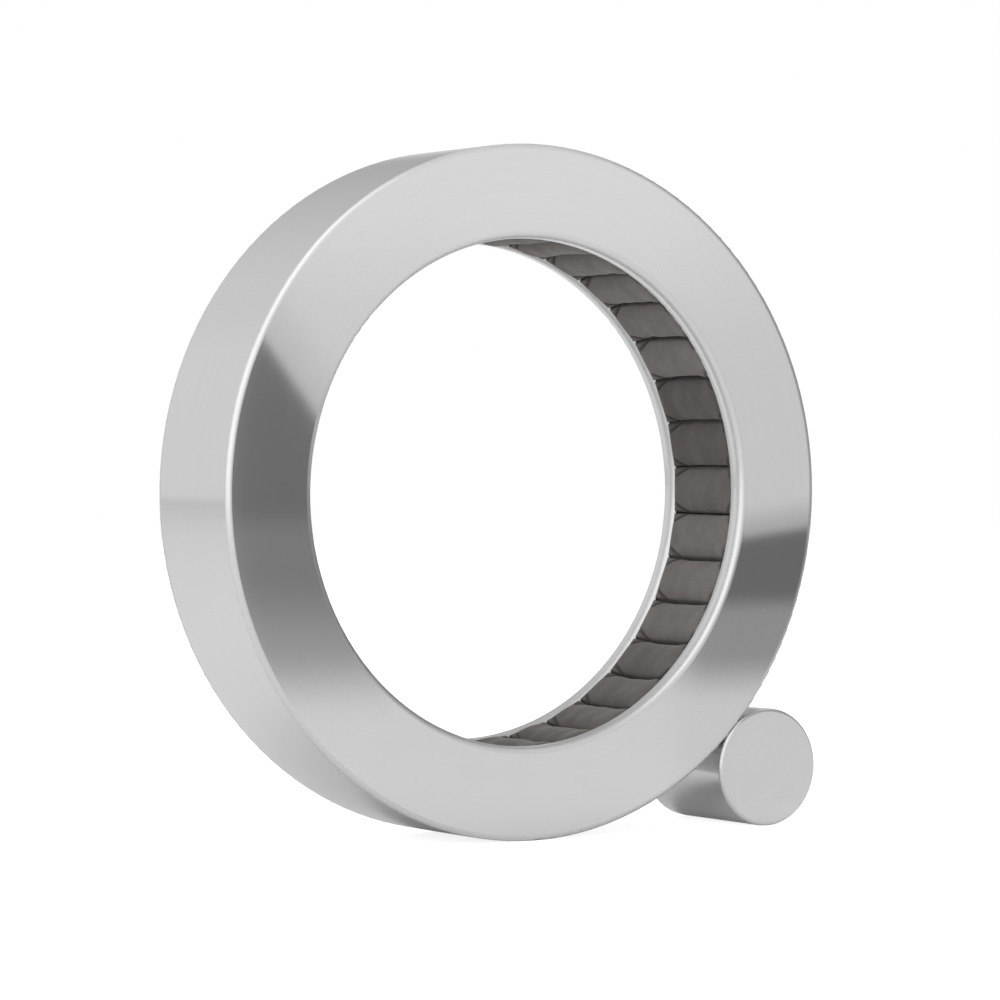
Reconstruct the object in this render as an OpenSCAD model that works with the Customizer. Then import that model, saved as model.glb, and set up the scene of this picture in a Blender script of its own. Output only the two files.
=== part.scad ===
// Jewelry organizer: a brushed steel ring on a cylinder foot, lined with velvet ring rolls.
// The ring's axis lies along Y, its front face looks towards -Y and +Z is up.
// The origin is on the table, straight under the ring's axis, halfway along its depth.

/* [Ring] */
// Outside diameter of the ring
ring_d = 200; // [180:1:240]
// Width of the ring's face, from the opening to the outside
face_w = 27; // [24:0.5:36]
// Depth of the ring and of the foot, front to rear
ring_depth = 40.5; // [36:0.5:60]
// Thickness of the band and of the two face pressings
sheet_t = 1.5; // [1:0.1:2]
// Radius of the rounded outer edge of each face
edge_r = 1; // [0.5:0.1:1.5]
// Outside radius of the bend from a face to its lip
bend_r = 2; // [0.8:0.1:2.4]
// Width of the lip round the opening, measured from the face
lip_w = 5.5; // [3:0.5:8]
// Radius of the rounded nose where the lip ends
lip_edge_r = 1; // [0.3:0.1:1.2]

/* [Rolls] */
// Number of ring rolls round the channel
roll_n = 34; // [30:1:38]
// How far the crown of a roll stands proud of the lips, towards the axis
crown_proud = 0.8; // [0:0.1:2]
// Radius of the crown, across a roll
crown_r = 11; // [9:0.5:16]
// Radius of a roll's edges, where the crown turns down into the slots
slot_edge_r = 2; // [1.5:0.25:3]
// Radius of a roll's shoulders, where the crown turns down to the lips
shoulder_r = 2.5; // [1.5:0.25:3.5]
// Width of the slot between two rolls
slot_gap = 0.3; // [0.1:0.1:1]
// Height of a roll, from its crown to the backing strip
roll_h = 12.8; // [10:0.2:14]
// Thickness of the velvet wrap
velvet_t = 0.8; // [0.4:0.1:1.2]
// Clearance between the rolls and the steel round them
roll_clearance = 0.3; // [0.1:0.1:0.6]

/* [Channel filling] */
// Thickness of the backing strip that the rolls are glued to
backing_t = 1.2; // [0.8:0.1:2]
// Gap at the bottom, where the ends of the backing strip and of the foam bed meet
butt_gap = 1; // [0.5:0.5:3]

/* [Foot] */
// Diameter of the foot
foot_d = 35; // [28:0.5:45]
// Wall of the foot tube
tube_t = 1.5; // [1:0.1:3]
// Thickness of the foot's end discs
disc_t = 1.5; // [1:0.1:3]
// Radius of the rounded edge of the end discs
disc_edge_r = 1; // [0.5:0.1:1]
// Depth of the saddle that seats the foot on the ring
saddle_depth = 0.3; // [0.1:0.05:0.6]

/* [Foot fixing] */
// Thread diameter of the foot screws
screw_d = 5; // [4:0.5:5]
// Length of the foot screws under the head
screw_len = 16; // [12:1:22]
// Head diameter of the foot screws
head_d = 9.5; // [8:0.5:11]
// Head height of the foot screws
head_h = 2.7; // [2:0.1:3.3]
// Width of the hexagon socket across its corners
socket_d = 3.5; // [2.5:0.5:4.5]
// Depth of the hexagon socket
socket_h = 1.6; // [1:0.1:1.8]
// Distance between the two screws
screw_pitch = 14; // [12:0.5:15]
// Free depth of the tapped holes past the screws' ends
tap_runout = 2; // [1:0.5:4]
// Diameter of the screws' clearance holes
hole_d = 5.5; // [5.2:0.1:7]
// Thickness of the clamp plate at its middle
plate_t = 2.5; // [2:0.1:4]
// Width of the clamp plate, round the ring
plate_w = 14; // [12:0.5:18]
// Length of the clamp plate, along the ring's depth
plate_len = 27; // [26:0.5:30]
// Clearance round the clamp plate and the heads in the foam bed
pocket_clearance = 0.5; // [0.3:0.1:1]

/* [Hidden] */
$fn = 144;

// Segments of the small arcs
small_fn = 48;

// How far a cutter runs past the surface that it cuts
over = 1;

// Radii round the ring's axis
ring_r = ring_d / 2;
opening_r = ring_r - face_w;
band_inner_r = ring_r - sheet_t;
lip_back_r = opening_r + sheet_t;
crown_top_r = opening_r - crown_proud;
crown_center_r = crown_top_r + crown_r;
roll_under_lip_r = lip_back_r + roll_clearance;
backing_inner_r = crown_top_r + roll_h;
backing_outer_r = backing_inner_r + backing_t;
plate_top_r = band_inner_r - plate_t;

// Places along the depth, from the middle
half_depth = ring_depth / 2;
half_channel = half_depth - sheet_t;
half_roll = half_channel - roll_clearance;
half_crown = half_depth - lip_w - roll_clearance;
half_tube = half_depth - disc_t;

// Angle from one roll to the next
roll_pitch = 360 / roll_n;

// The foot stands level with the ring and is sunk on it by the saddle's depth
foot_r = foot_d / 2;
foot_x = sqrt(pow(ring_r + foot_r - saddle_depth, 2) - pow(ring_r - foot_r, 2));
foot_angle = atan2(foot_r - ring_r, foot_x);
core_r = foot_r - tube_t;

// Node names
roll_names = [for (i = [1:roll_n]) str("ring_roll_", i < 10 ? "0" : "", i)];

// Colours
steel = [0.78, 0.78, 0.78];
dark_steel = [0.4, 0.41, 0.43];
velvet = [0.4, 0.39, 0.38];
foam = [0.27, 0.27, 0.28];
board = [0.56, 0.5, 0.42];

// Lays what is drawn round Z on the ring's axis, with +Z to the rear
module on_ring_axis() {
    translate([0, 0, ring_r])
        rotate([-90, 0, 0])
            children();
}

// Lays what is drawn round Z on the foot's axis, with +Z to the rear
module on_foot_axis() {
    translate([foot_x, 0, foot_r])
        rotate([-90, 0, 0])
            children();
}

// Turns its children round the ring, counted from its right-hand side: they are drawn with
// +X outwards from the ring's axis, Y along the depth and Z round the ring
module at_angle(angle) {
    translate([0, 0, ring_r])
        rotate([0, -angle, 0])
            children();
}

// Ring between two radii, as deep as its half depth on either side of the middle
module hoop(outer_r, inner_r, half) {
    on_ring_axis()
        difference() {
            cylinder(h = 2 * half, r = outer_r, center = true);
            cylinder(h = 2 * (half + over), r = inner_r, center = true);
        }
}

// The ring's outer cylinder, which the foot's saddle fits
module ring_outside() {
    on_ring_axis()
        cylinder(h = ring_depth + 2 * over, r = ring_r, center = true);
}

// A cylinder on each foot screw's axis, between two distances from the ring's axis
module at_screws(d, start_r, end_r, fn = small_fn) {
    at_angle(foot_angle)
        for (side = [-1, 1])
            translate([start_r, side * screw_pitch / 2, 0])
                rotate([0, 90, 0])
                    cylinder(h = end_r - start_r, d = d, $fn = fn);
}

// What a rounded corner loses, for a corner at the origin that opens to +X and +Y
module corner_waste(r) {
    difference() {
        translate([-over, -over])
            square(r + over);
        translate([r, r])
            circle(r = r, $fn = small_fn);
    }
}

// Section of a face, with x as the radius: flat sheet with a rounded rim and a turned-in lip
module face_section() {
    difference() {
        translate([opening_r, 0])
            union() {
                square([face_w, sheet_t]);
                square([sheet_t, lip_w]);
            }
        translate([ring_r, 0])
            mirror([1, 0])
                corner_waste(edge_r);
        translate([opening_r, 0])
            corner_waste(bend_r);
        translate([opening_r, lip_w])
            mirror([0, 1])
                corner_waste(lip_edge_r);
    }
}

// A face with its outside at the front of the ring
module face_pressing() {
    on_ring_axis()
        translate([0, 0, -half_depth])
            rotate_extrude()
                face_section();
}

module outer_band() {
    color(steel)
        difference() {
            hoop(ring_r, band_inner_r, half_channel);
            at_screws(hole_d, band_inner_r - over, ring_r + over);
        }
}

module front_face() {
    color(steel)
        face_pressing();
}

module rear_face() {
    color(steel)
        mirror([0, 1, 0])
            face_pressing();
}

// Foam strip that fills the channel from the band to the backing strip
module foam_bed() {
    color(foam)
        difference() {
            hoop(band_inner_r, backing_outer_r, half_roll);
            butt_joint();
            clamp_pocket();
        }
}

// Room in the foam bed for the clamp plate and the screw heads
module clamp_pocket() {
    pocket_r = plate_top_r - head_h - pocket_clearance;
    pocket_len = plate_len + 2 * pocket_clearance;
    pocket_w = plate_w + 2 * pocket_clearance;
    at_angle(foot_angle)
        translate([pocket_r, -pocket_len / 2, -pocket_w / 2])
            cube([ring_r - pocket_r, pocket_len, pocket_w]);
}

// Slit at the bottom of the channel, where the ends of a strip meet
module butt_joint() {
    translate([-butt_gap / 2, -half_depth, ring_r - band_inner_r - over])
        cube([butt_gap, ring_depth, band_inner_r - backing_inner_r + 2 * over]);
}

module backing_strip() {
    color(board)
        difference() {
            hoop(backing_outer_r, backing_inner_r, half_roll);
            butt_joint();
        }
}

// Centre of the arc at a roll's upper slot edge, in the section's plane: it touches both the
// side, which follows the pitch, and the crown
function slot_edge_center() =
    let (
        half = roll_pitch / 2,
        inward = slot_gap / 2 + slot_edge_r,
        across = inward - crown_center_r * sin(half),
        outward = crown_center_r * cos(half) - sqrt(pow(crown_r - slot_edge_r, 2) - pow(across, 2))
    )
    [inward * sin(half) + outward * cos(half), outward * sin(half) - inward * cos(half)];

// Section of a roll across the channel, with x as the radius and y round the ring: crown,
// rounded edges and sides that follow the pitch. The inset takes as much off every side.
module roll_section(inset) {
    half = roll_pitch / 2;
    edge = slot_edge_center();
    edge_radius = slot_edge_r - inset;
    crown_half_w = edge.y * (crown_r - inset) / (crown_r - slot_edge_r);
    side = edge + edge_radius * [-sin(half), cos(half)];
    back = side + (backing_outer_r + over - side.x) * [1, tan(half)];
    intersection() {
        translate([crown_center_r, 0])
            circle(r = crown_r - inset);
        translate([crown_top_r - over, -crown_half_w])
            square([edge.x + edge_radius / 2 - crown_top_r + over, 2 * crown_half_w]);
    }
    for (end = [-1, 1])
        translate([edge.x, end * edge.y])
            circle(r = edge_radius, $fn = small_fn);
    polygon([side, [side.x, -side.y], [back.x, -back.y], back]);
}

// Outline of a roll along the channel, with x as the radius and y as the depth: the crown
// rises between the lips, and the ends lie under them
module roll_outline(inset) {
    top_r = crown_top_r + inset;
    crown_end = half_crown - inset;
    r = shoulder_r - inset;
    back_r = backing_outer_r + over;
    difference() {
        translate([top_r, -crown_end])
            square([back_r - top_r, 2 * crown_end]);
        translate([top_r, -crown_end])
            corner_waste(r);
        translate([top_r, crown_end])
            mirror([0, 1])
                corner_waste(r);
    }
    translate([roll_under_lip_r + inset, -half_roll + inset])
        square([back_r - roll_under_lip_r - inset, 2 * (half_roll - inset)]);
}

// A roll on the ring's right-hand side, smaller by the inset, down to a back at back_r
module roll_form(inset, back_r) {
    intersection() {
        rotate([90, 0, 0])
            linear_extrude(height = ring_depth, center = true)
                roll_section(inset);
        linear_extrude(height = ring_depth, center = true)
            roll_outline(inset);
        rotate([90, 0, 0])
            cylinder(h = ring_depth, r = back_r, center = true);
    }
}

// The velvet wrap of one roll, open at its back, where its foam core lies on the backing strip
module ring_roll(index) {
    color(velvet)
        at_angle((index - 1) * roll_pitch)
            difference() {
                roll_form(0, backing_inner_r);
                roll_form(velvet_t, backing_inner_r + over);
            }
}

module roll_cores() {
    color(foam)
        for (i = [1:roll_n])
            at_angle((i - 1) * roll_pitch)
                roll_form(velvet_t, backing_inner_r);
}

module foot_tube() {
    color(steel)
        difference() {
            on_foot_axis()
                difference() {
                    cylinder(h = 2 * half_tube, r = foot_r, center = true);
                    cylinder(h = 2 * (half_tube + over), r = core_r, center = true);
                }
            ring_outside();
            at_screws(hole_d, ring_r - over, ring_r + foot_r);
        }
}

// An end disc of the foot, with its outside at the front
module foot_disc() {
    difference() {
        on_foot_axis()
            translate([0, 0, -half_depth])
                rotate_extrude()
                    difference() {
                        square([foot_r, disc_t]);
                        translate([foot_r, 0])
                            mirror([1, 0])
                                corner_waste(disc_edge_r);
                    }
        ring_outside();
    }
}

module foot_front_disc() {
    color(steel)
        foot_disc();
}

module foot_rear_disc() {
    color(steel)
        mirror([0, 1, 0])
            foot_disc();
}

// Solid bar in the foot tube, with the tapped holes
module foot_core() {
    color(dark_steel)
        difference() {
            on_foot_axis()
                cylinder(h = 2 * half_tube, r = core_r, center = true);
            at_screws(screw_d, ring_r, plate_top_r + screw_len + tap_runout);
        }
}

// Plate inside the band that spreads the screws' load, with its back curved to fit the band
module clamp_plate() {
    color(dark_steel)
        difference() {
            intersection() {
                at_angle(foot_angle)
                    translate([plate_top_r, -plate_len / 2, -plate_w / 2])
                        cube([plate_t + over, plate_len, plate_w]);
                on_ring_axis()
                    cylinder(h = ring_depth, r = band_inner_r, center = true);
            }
            at_screws(hole_d, plate_top_r - over, ring_r);
        }
}

module foot_screws() {
    color(dark_steel)
        difference() {
            union() {
                at_screws(screw_d, plate_top_r - head_h / 2, plate_top_r + screw_len);
                at_screws(head_d, plate_top_r - head_h, plate_top_r);
            }
            at_screws(socket_d, plate_top_r - head_h - over, plate_top_r - head_h + socket_h, 6);
        }
}

outer_band();
front_face();
rear_face();
foam_bed();
backing_strip();
roll_cores();
for (i = [1:roll_n])
    ring_roll(i);
foot_tube();
foot_front_disc();
foot_rear_disc();
foot_core();
clamp_plate();
foot_screws();
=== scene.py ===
"""Looks of a ring-shaped jewelry organizer: a satin steel ring on edge, lined with grey velvet
ring rolls, fixed to a short steel cylinder that lies beside it as its foot.

The steel pieces are the CAD solids with brushed finishes. The 34 velvet rolls are padded pieces
made here: a closed form, swollen as cloth under pressure, held between its neighbours and the
steel lips, and folded in at its ends. Everything is in metres, in the frame of the CAD model:
the origin is on the table under the ring's axis, Z is up, and the front looks towards -Y.
"""

import math

import bmesh
import bpy
import numpy as np
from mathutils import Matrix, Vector


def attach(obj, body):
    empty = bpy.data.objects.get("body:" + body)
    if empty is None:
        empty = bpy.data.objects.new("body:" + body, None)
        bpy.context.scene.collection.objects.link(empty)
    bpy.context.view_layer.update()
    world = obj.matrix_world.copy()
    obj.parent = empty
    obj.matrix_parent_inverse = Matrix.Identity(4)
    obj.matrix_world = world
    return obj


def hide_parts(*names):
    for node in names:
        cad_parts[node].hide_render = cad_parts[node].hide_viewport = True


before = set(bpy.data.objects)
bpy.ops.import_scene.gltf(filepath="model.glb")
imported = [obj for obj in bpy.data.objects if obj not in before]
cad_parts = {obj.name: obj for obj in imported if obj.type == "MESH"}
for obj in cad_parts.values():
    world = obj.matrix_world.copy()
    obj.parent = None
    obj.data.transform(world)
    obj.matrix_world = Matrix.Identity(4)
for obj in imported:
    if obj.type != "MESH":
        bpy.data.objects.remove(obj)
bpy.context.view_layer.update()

MM = 0.001

# Sizes that part.scad gives, in millimetres where no unit is said
RING_AXIS_HEIGHT = 100.0
FACE_DEPTH = 20.25
FOOT_AXIS = (83.244, 17.5)
ROLL_COUNT = 34
RING_RADIUS = 100.0
OPENING_RADIUS = 73.0
RIM_ROUNDING = 1.0
BEND_RADIUS = 2.0
LIP_WIDTH = 5.5
FOOT_RADIUS = 17.5
DISC_ROUNDING = 1.0


# Small helpers


def new_object(name, data):
    """An object that holds the data, linked to the scene."""
    made = bpy.data.objects.new(name, data)
    bpy.context.scene.collection.objects.link(made)
    return made


def mesh_object(name, vertices, faces):
    """A new object from plain lists, with its faces outwards."""
    mesh = bpy.data.meshes.new(name)
    mesh.from_pydata([tuple(v) for v in vertices], [], faces)
    work = bmesh.new()
    work.from_mesh(mesh)
    bmesh.ops.recalc_face_normals(work, faces=work.faces)
    work.to_mesh(mesh)
    work.free()
    return new_object(name, mesh)


def evaluated_mesh(piece):
    """The piece's mesh with its modifiers worked in."""
    graph = bpy.context.evaluated_depsgraph_get()
    shown = piece.evaluated_get(graph)
    return bpy.data.meshes.new_from_object(shown, preserve_all_data_layers=True, depsgraph=graph)


def joined_object(name, parts):
    """One object from several with the same material, which are removed."""
    work = bmesh.new()
    for part in parts:
        work.from_mesh(part.data)
    mesh = bpy.data.meshes.new(name)
    work.to_mesh(mesh)
    work.free()
    mesh.materials.append(parts[0].data.materials[0])
    for part in parts:
        bpy.data.objects.remove(part)
    return new_object(name, mesh)


def positions(mesh):
    """The vertices of a mesh as an array, one row each."""
    flat = np.zeros(len(mesh.vertices) * 3)
    mesh.vertices.foreach_get("co", flat)
    return flat.reshape(-1, 3)


def move_vertices(mesh, places):
    """Puts the vertices of a mesh at the rows of an array."""
    mesh.vertices.foreach_set("co", np.asarray(places, float).ravel())
    mesh.update()


def smooth_step(value, low, high):
    """0 below low, 1 above high and an S-shaped rise between them."""
    share = np.clip((value - low) / (high - low), 0, 1)
    return share * share * (3 - 2 * share)


def node(tree, kind, inputs=None, **settings):
    """Adds a node. inputs gives socket names or numbers their values or the sockets they read."""
    made = tree.nodes.new(kind)
    for name, value in settings.items():
        setattr(made, name, value)
    for name, value in (inputs or {}).items():
        if isinstance(value, bpy.types.NodeSocket):
            tree.links.new(value, made.inputs[name])
        else:
            made.inputs[name].default_value = value
    return made


def maths(tree, operation, first, second=0.0, clamp=False):
    """A Math node's result."""
    made = node(tree, "ShaderNodeMath", {0: first, 1: second}, operation=operation)
    made.use_clamp = clamp
    return made.outputs[0]


def rise(tree, value, low, high, to_low=0.0, to_high=1.0):
    """A smooth change from to_low to to_high as value goes from low to high."""
    inputs = {"Value": value, "From Min": low, "From Max": high, "To Min": to_low, "To Max": to_high}
    made = node(tree, "ShaderNodeMapRange", inputs, interpolation_type="SMOOTHSTEP")
    return made.outputs["Result"]


def mixed_colour(tree, share, first, second):
    """first where share is 0 and second where it is 1."""
    made = node(tree, "ShaderNodeMix", {0: share, 6: first, 7: second}, data_type="RGBA")
    return made.outputs[2]


def noise(tree, vector, scale, detail=2.0, roughness=0.5):
    """A noise texture's value, from 0 to 1 round 0.5."""
    inputs = {"Vector": vector, "Scale": scale, "Detail": detail, "Roughness": roughness}
    return node(tree, "ShaderNodeTexNoise", inputs).outputs["Fac"]


def blend(tree, *parts):
    """The sum of values, each times its weight."""
    total = None
    for value, weight in parts:
        share = maths(tree, "MULTIPLY", value, weight)
        total = share if total is None else maths(tree, "ADD", total, share)
    return total


def new_material(name):
    """An empty node material, with its tree and its output node."""
    made = bpy.data.materials.new(name)
    made.use_nodes = True
    made.node_tree.nodes.clear()
    output = made.node_tree.nodes.new("ShaderNodeOutputMaterial")
    return made, made.node_tree, output


def grey(level):
    """A neutral colour."""
    return (level, level, level, 1)


def set_surface(tree, output, inputs):
    """Gives a material its surface, from a Principled shader's inputs."""
    shader = node(tree, "ShaderNodeBsdfPrincipled", inputs)
    tree.links.new(shader.outputs[0], output.inputs["Surface"])


def set_glow(tree, output, glow, solid):
    """Gives a material a glow that is clear where solid is 0."""
    light = node(tree, "ShaderNodeEmission", {"Color": grey(1), "Strength": glow})
    clear = node(tree, "ShaderNodeBsdfTransparent")
    both = node(tree, "ShaderNodeMixShader", {0: solid, 1: clear.outputs[0], 2: light.outputs[0]})
    tree.links.new(both.outputs[0], output.inputs["Surface"])


# Camera

CAMERA_PLACE = (-0.61433, -0.96712, 0.11561)
CAMERA_TARGET = (0.00092, -0.00059, 0.09766)
LENS = 141.72
SENSOR = 36.0


def make_camera():
    """The photograph's view: level with the ring's axis, from the front and left, with a long lens."""
    data = bpy.data.cameras.new("camera")
    data.lens = LENS
    data.sensor_width = SENSOR
    data.clip_start = 0.01
    data.clip_end = 50
    made = new_object("camera", data)
    made.location = CAMERA_PLACE
    looking = Vector(CAMERA_TARGET) - Vector(CAMERA_PLACE)
    made.rotation_euler = looking.to_track_quat("-Z", "Y").to_euler()
    bpy.context.scene.camera = made


# Floor, world and lamps

STAGE_CENTRE = (0, 0, 0.10)
AMBIENT = 0.55

# The floor's own glow to the camera and to the steel, and its two shades in the steel
FLOOR_SIDE = 6.0
FLOOR_COLOUR = 0.80
FLOOR_GLOW_SEEN = 0.80
FLOOR_GLOW_MIRRORED = 0.34
CONTACT_SHADE_REACH = 0.13
CONTACT_SHADE_LEAST = 0.28
SHADE_CENTRE = (-0.045, 0.035, 0)
SHADE_REACH = 0.070
SHADE_DEPTH = 0.50

# The lamps, and the glowing sheets that the steel shows instead of them
SOFTBOX_PLACE = (-1.05, -0.75, 0.50)
SOFTBOX_SIZE = (1.7, 1.0)
SOFTBOX_RADIANCE = 1.4
OVERHEAD_PLACE = (0.15, -0.10, 1.40)
OVERHEAD_SIZE = (1.4, 1.4)
OVERHEAD_RADIANCE = 0.9
SHEET_EDGE = (0.5, 0.35)
SOFTBOX_FACE_SIZE = (2.3, 1.5)
SOFTBOX_MIRRORED = 1.75
HIGH_BOX_PLACE = (-0.50, -0.50, 1.25)
HIGH_BOX_SIZE = (1.2, 1.2)
HIGH_BOX_MIRRORED = 2.0

# The world that the steel shows: its glow, and where it is dimmer, as ranges of its direction
WORLD_MIRRORED = 0.97
DIM_HEADING = (0.8, 0, 0.6)
DIM_FROM_HEADING = (-0.05, 0.1)
DIM_FROM_REAR = (0.45, 0.75)
DIM_FROM_HEIGHT = (0.165, 0.225)
DIM_LEAST = 0.04
DIM_GAIN = 1.2
DIM_LOW = 0.10
DIM_LOW_HEIGHTS = (0.50, 0.23)
DIM_BESIDE = 0.58
DIM_BESIDE_FROM = (0.60, 0.85)

# How the cards in front of the ring lie in its mirror: what the face shows at x and z from the
# ring's axis is on a card at MIRROR_SCALE times x and z plus MIRROR_SHIFT, in millimetres
REFLECTOR_GAP = 0.030
TOP_CARD_GAP = 0.031
GAP_SHARE = REFLECTOR_GAP / (-CAMERA_PLACE[1] - FACE_DEPTH * MM)
MIRROR_SCALE = 1 + GAP_SHARE
MIRROR_SHIFT = (
    -CAMERA_PLACE[0] * GAP_SHARE / MM,
    -(CAMERA_PLACE[2] / MM - RING_AXIS_HEIGHT) * GAP_SHARE,
)
RIM_MARGIN = 3.0

# The cards' left, right, bottom and top, in metres
LEFT_CARD = (-0.165, -0.030, 0.030, 0.170)
RIGHT_CARD = (0.062, 0.200, 0.002, 0.140)
TOP_CARD = (-0.110, 0.150, 0.135, 0.250)

# The paint on them, in millimetres from the ring's axis. A glow step is a range of heights and the
# glow that it adds at its two ends. An edge is the range over which the paint turns solid, and for
# some how solid it is at its two ends.
LEFT_GLOW_STEPS = ((-3, -13, 0.235, 0.31), (-22, -50, 0.0, 0.20), (-44.5, -64, 0.0, 0.45))
LEFT_SLANT = 1.264
LEFT_SOFT_EDGE = (-18, -44, 0.0, 0.20)
LEFT_STEEP_EDGE = (-45.0, -49.2)
LEFT_FOOT_EDGE = (-70, -60)
RIGHT_GLOW_STEPS = ((-31.5, -38.5, 0.215, 0.43), (-50, -66, 0.0, 0.50))
RIGHT_TILT = 0.115
RIGHT_SOFT_EDGE = (-15, -24.5, 0.0, 0.34)
RIGHT_STEEP_EDGE = (-24.1, -27.5)
RIGHT_SIDE_EDGES = ((200, 160), (62, 82))
TOP_GLOW = 1.115
TOP_HEIGHT_EDGES = ((35, 90), (150, 120))
TOP_SIDE_EDGES = ((-110, -40), (150, 60))


def make_world():
    """White for the camera, and plain light. Reflections see a white studio that is dimmer high up
    behind the object and beside it on the right."""
    world = bpy.data.worlds.new("studio")
    bpy.context.scene.world = world
    world.use_nodes = True
    tree = world.node_tree
    tree.nodes.clear()
    path = node(tree, "ShaderNodeLightPath")
    seen = maths(tree, "ADD", path.outputs["Is Camera Ray"], path.outputs["Is Transmission Ray"])
    direction = node(tree, "ShaderNodeTexCoord").outputs["Generated"]
    parts = node(tree, "ShaderNodeSeparateXYZ", {0: direction})
    sideways, rearwards, upwards = parts.outputs["X"], parts.outputs["Y"], parts.outputs["Z"]
    inputs = {0: direction, 1: DIM_HEADING}
    towards = node(tree, "ShaderNodeVectorMath", inputs, operation="DOT_PRODUCT").outputs["Value"]
    steep = maths(tree, "MULTIPLY", towards, towards)
    behind = maths(tree, "ADD", DIM_LEAST, maths(tree, "MULTIPLY", steep, DIM_GAIN))
    behind = maths(tree, "ADD", behind, rise(tree, upwards, *DIM_LOW_HEIGHTS, 0.0, DIM_LOW))
    behind = maths(tree, "MULTIPLY", behind, rise(tree, towards, *DIM_FROM_HEADING))
    behind = maths(tree, "MULTIPLY", behind, rise(tree, rearwards, *DIM_FROM_REAR))
    behind = maths(tree, "MULTIPLY", behind, rise(tree, upwards, *DIM_FROM_HEIGHT))
    beside = rise(tree, sideways, *DIM_BESIDE_FROM, 0.0, DIM_BESIDE)
    mirrored = maths(tree, "SUBTRACT", maths(tree, "SUBTRACT", WORLD_MIRRORED, behind), beside)
    level = maths(tree, "MULTIPLY", path.outputs["Is Glossy Ray"], mirrored)
    level = maths(tree, "ADD", level, seen)
    other = maths(tree, "ADD", seen, path.outputs["Is Glossy Ray"])
    other = maths(tree, "SUBTRACT", 1.0, other, clamp=True)
    strength = maths(tree, "ADD", level, maths(tree, "MULTIPLY", other, AMBIENT))
    sky = node(tree, "ShaderNodeBackground", {"Color": grey(1), "Strength": strength})
    node(tree, "ShaderNodeOutputWorld", {"Surface": sky.outputs[0]})


def make_floor():
    """A plain white floor that keeps the object's soft shadow, deeper in the steel's reflections:
    where the ring stands, and in a broad patch behind it, away from the left soft box."""
    material, tree, output = new_material("floor_white")
    path = node(tree, "ShaderNodeLightPath")
    seen = maths(tree, "ADD", path.outputs["Is Camera Ray"], path.outputs["Is Transmission Ray"])
    seen = maths(tree, "MULTIPLY", seen, FLOOR_GLOW_SEEN)
    contact = node(tree, "ShaderNodeAmbientOcclusion", {"Distance": CONTACT_SHADE_REACH}, samples=6)
    open_share = maths(tree, "MULTIPLY", contact.outputs["AO"], 1 - CONTACT_SHADE_LEAST)
    open_share = maths(tree, "ADD", open_share, CONTACT_SHADE_LEAST)
    place = node(tree, "ShaderNodeNewGeometry").outputs["Position"]
    away = node(tree, "ShaderNodeVectorMath", {0: place, 1: SHADE_CENTRE}, operation="DISTANCE")
    unshaded = rise(tree, away.outputs["Value"], 0.0, SHADE_REACH, 1 - SHADE_DEPTH, 1.0)
    open_share = maths(tree, "MULTIPLY", open_share, unshaded)
    mirrored = maths(tree, "MULTIPLY", path.outputs["Is Glossy Ray"], open_share)
    mirrored = maths(tree, "MULTIPLY", mirrored, FLOOR_GLOW_MIRRORED)
    paper = node(tree, "ShaderNodeBsdfDiffuse", {"Color": grey(FLOOR_COLOUR)})
    strength = maths(tree, "ADD", seen, mirrored)
    glow = node(tree, "ShaderNodeEmission", {"Color": grey(1), "Strength": strength})
    both = node(tree, "ShaderNodeAddShader", {0: paper.outputs[0], 1: glow.outputs[0]})
    tree.links.new(both.outputs[0], output.inputs["Surface"])
    half = FLOOR_SIDE / 2
    corners = [(-half, -half, 0), (half, -half, 0), (half, half, 0), (-half, half, 0)]
    floor = mesh_object("floor", corners, [(0, 1, 2, 3)])
    floor.data.materials.append(material)


def make_lamp(name, place, width, height, radiance):
    """A soft box that lights the velvet and the floor. radiance is how bright its surface is. Metal
    doesn't show the lamp itself."""
    data = bpy.data.lights.new(name, "AREA")
    data.shape = "RECTANGLE"
    data.size = width
    data.size_y = height
    data.energy = radiance * math.pi * width * height
    made = new_object(name, data)
    made.location = place
    aim = Vector(STAGE_CENTRE) - Vector(place)
    made.rotation_euler = aim.to_track_quat("-Z", "Y").to_euler()
    made.visible_camera = False
    made.visible_glossy = False


def faded(tree, solid, value, *edges):
    """How solid something is, when it also fades out over ranges of a value."""
    for edge in edges:
        solid = maths(tree, "MULTIPLY", solid, rise(tree, value, *edge))
    return solid


def mirrored_only(card):
    """Lets nothing but reflections show a card."""
    card.visible_camera = False
    card.visible_diffuse = False
    card.visible_transmission = False
    card.visible_volume_scatter = False
    card.visible_shadow = False


def make_softbox_face(name, centre, size, glow):
    """A soft box as the metal shows it: a glowing sheet that fades out at its edges."""
    material, tree, output = new_material(name)
    place = node(tree, "ShaderNodeTexCoord").outputs["Object"]
    parts = node(tree, "ShaderNodeSeparateXYZ", {0: place})
    solid = rise(tree, maths(tree, "ABSOLUTE", parts.outputs["X"]), *SHEET_EDGE)
    solid = faded(tree, solid, maths(tree, "ABSOLUTE", parts.outputs["Y"]), SHEET_EDGE)
    set_glow(tree, output, glow, solid)
    corners = [(-0.5, -0.5, 0), (0.5, -0.5, 0), (0.5, 0.5, 0), (-0.5, 0.5, 0)]
    face = mesh_object(name, corners, [(0, 1, 2, 3)])
    face.data.materials.append(material)
    face.location = centre
    aim = Vector(STAGE_CENTRE) - Vector(centre)
    face.rotation_euler = aim.to_track_quat("-Z", "Y").to_euler()
    face.scale = (*size, 1)
    mirrored_only(face)


def make_reflector(name, sides, gap, material):
    """A card just in front of the ring that only reflections show."""
    left, right, bottom, top = sides
    y = -FACE_DEPTH * MM - gap
    corners = [(left, y, bottom), (right, y, bottom), (right, y, top), (left, y, top)]
    card = mesh_object(name, corners, [(0, 1, 2, 3)])
    card.data.materials.append(material)
    mirrored_only(card)


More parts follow.
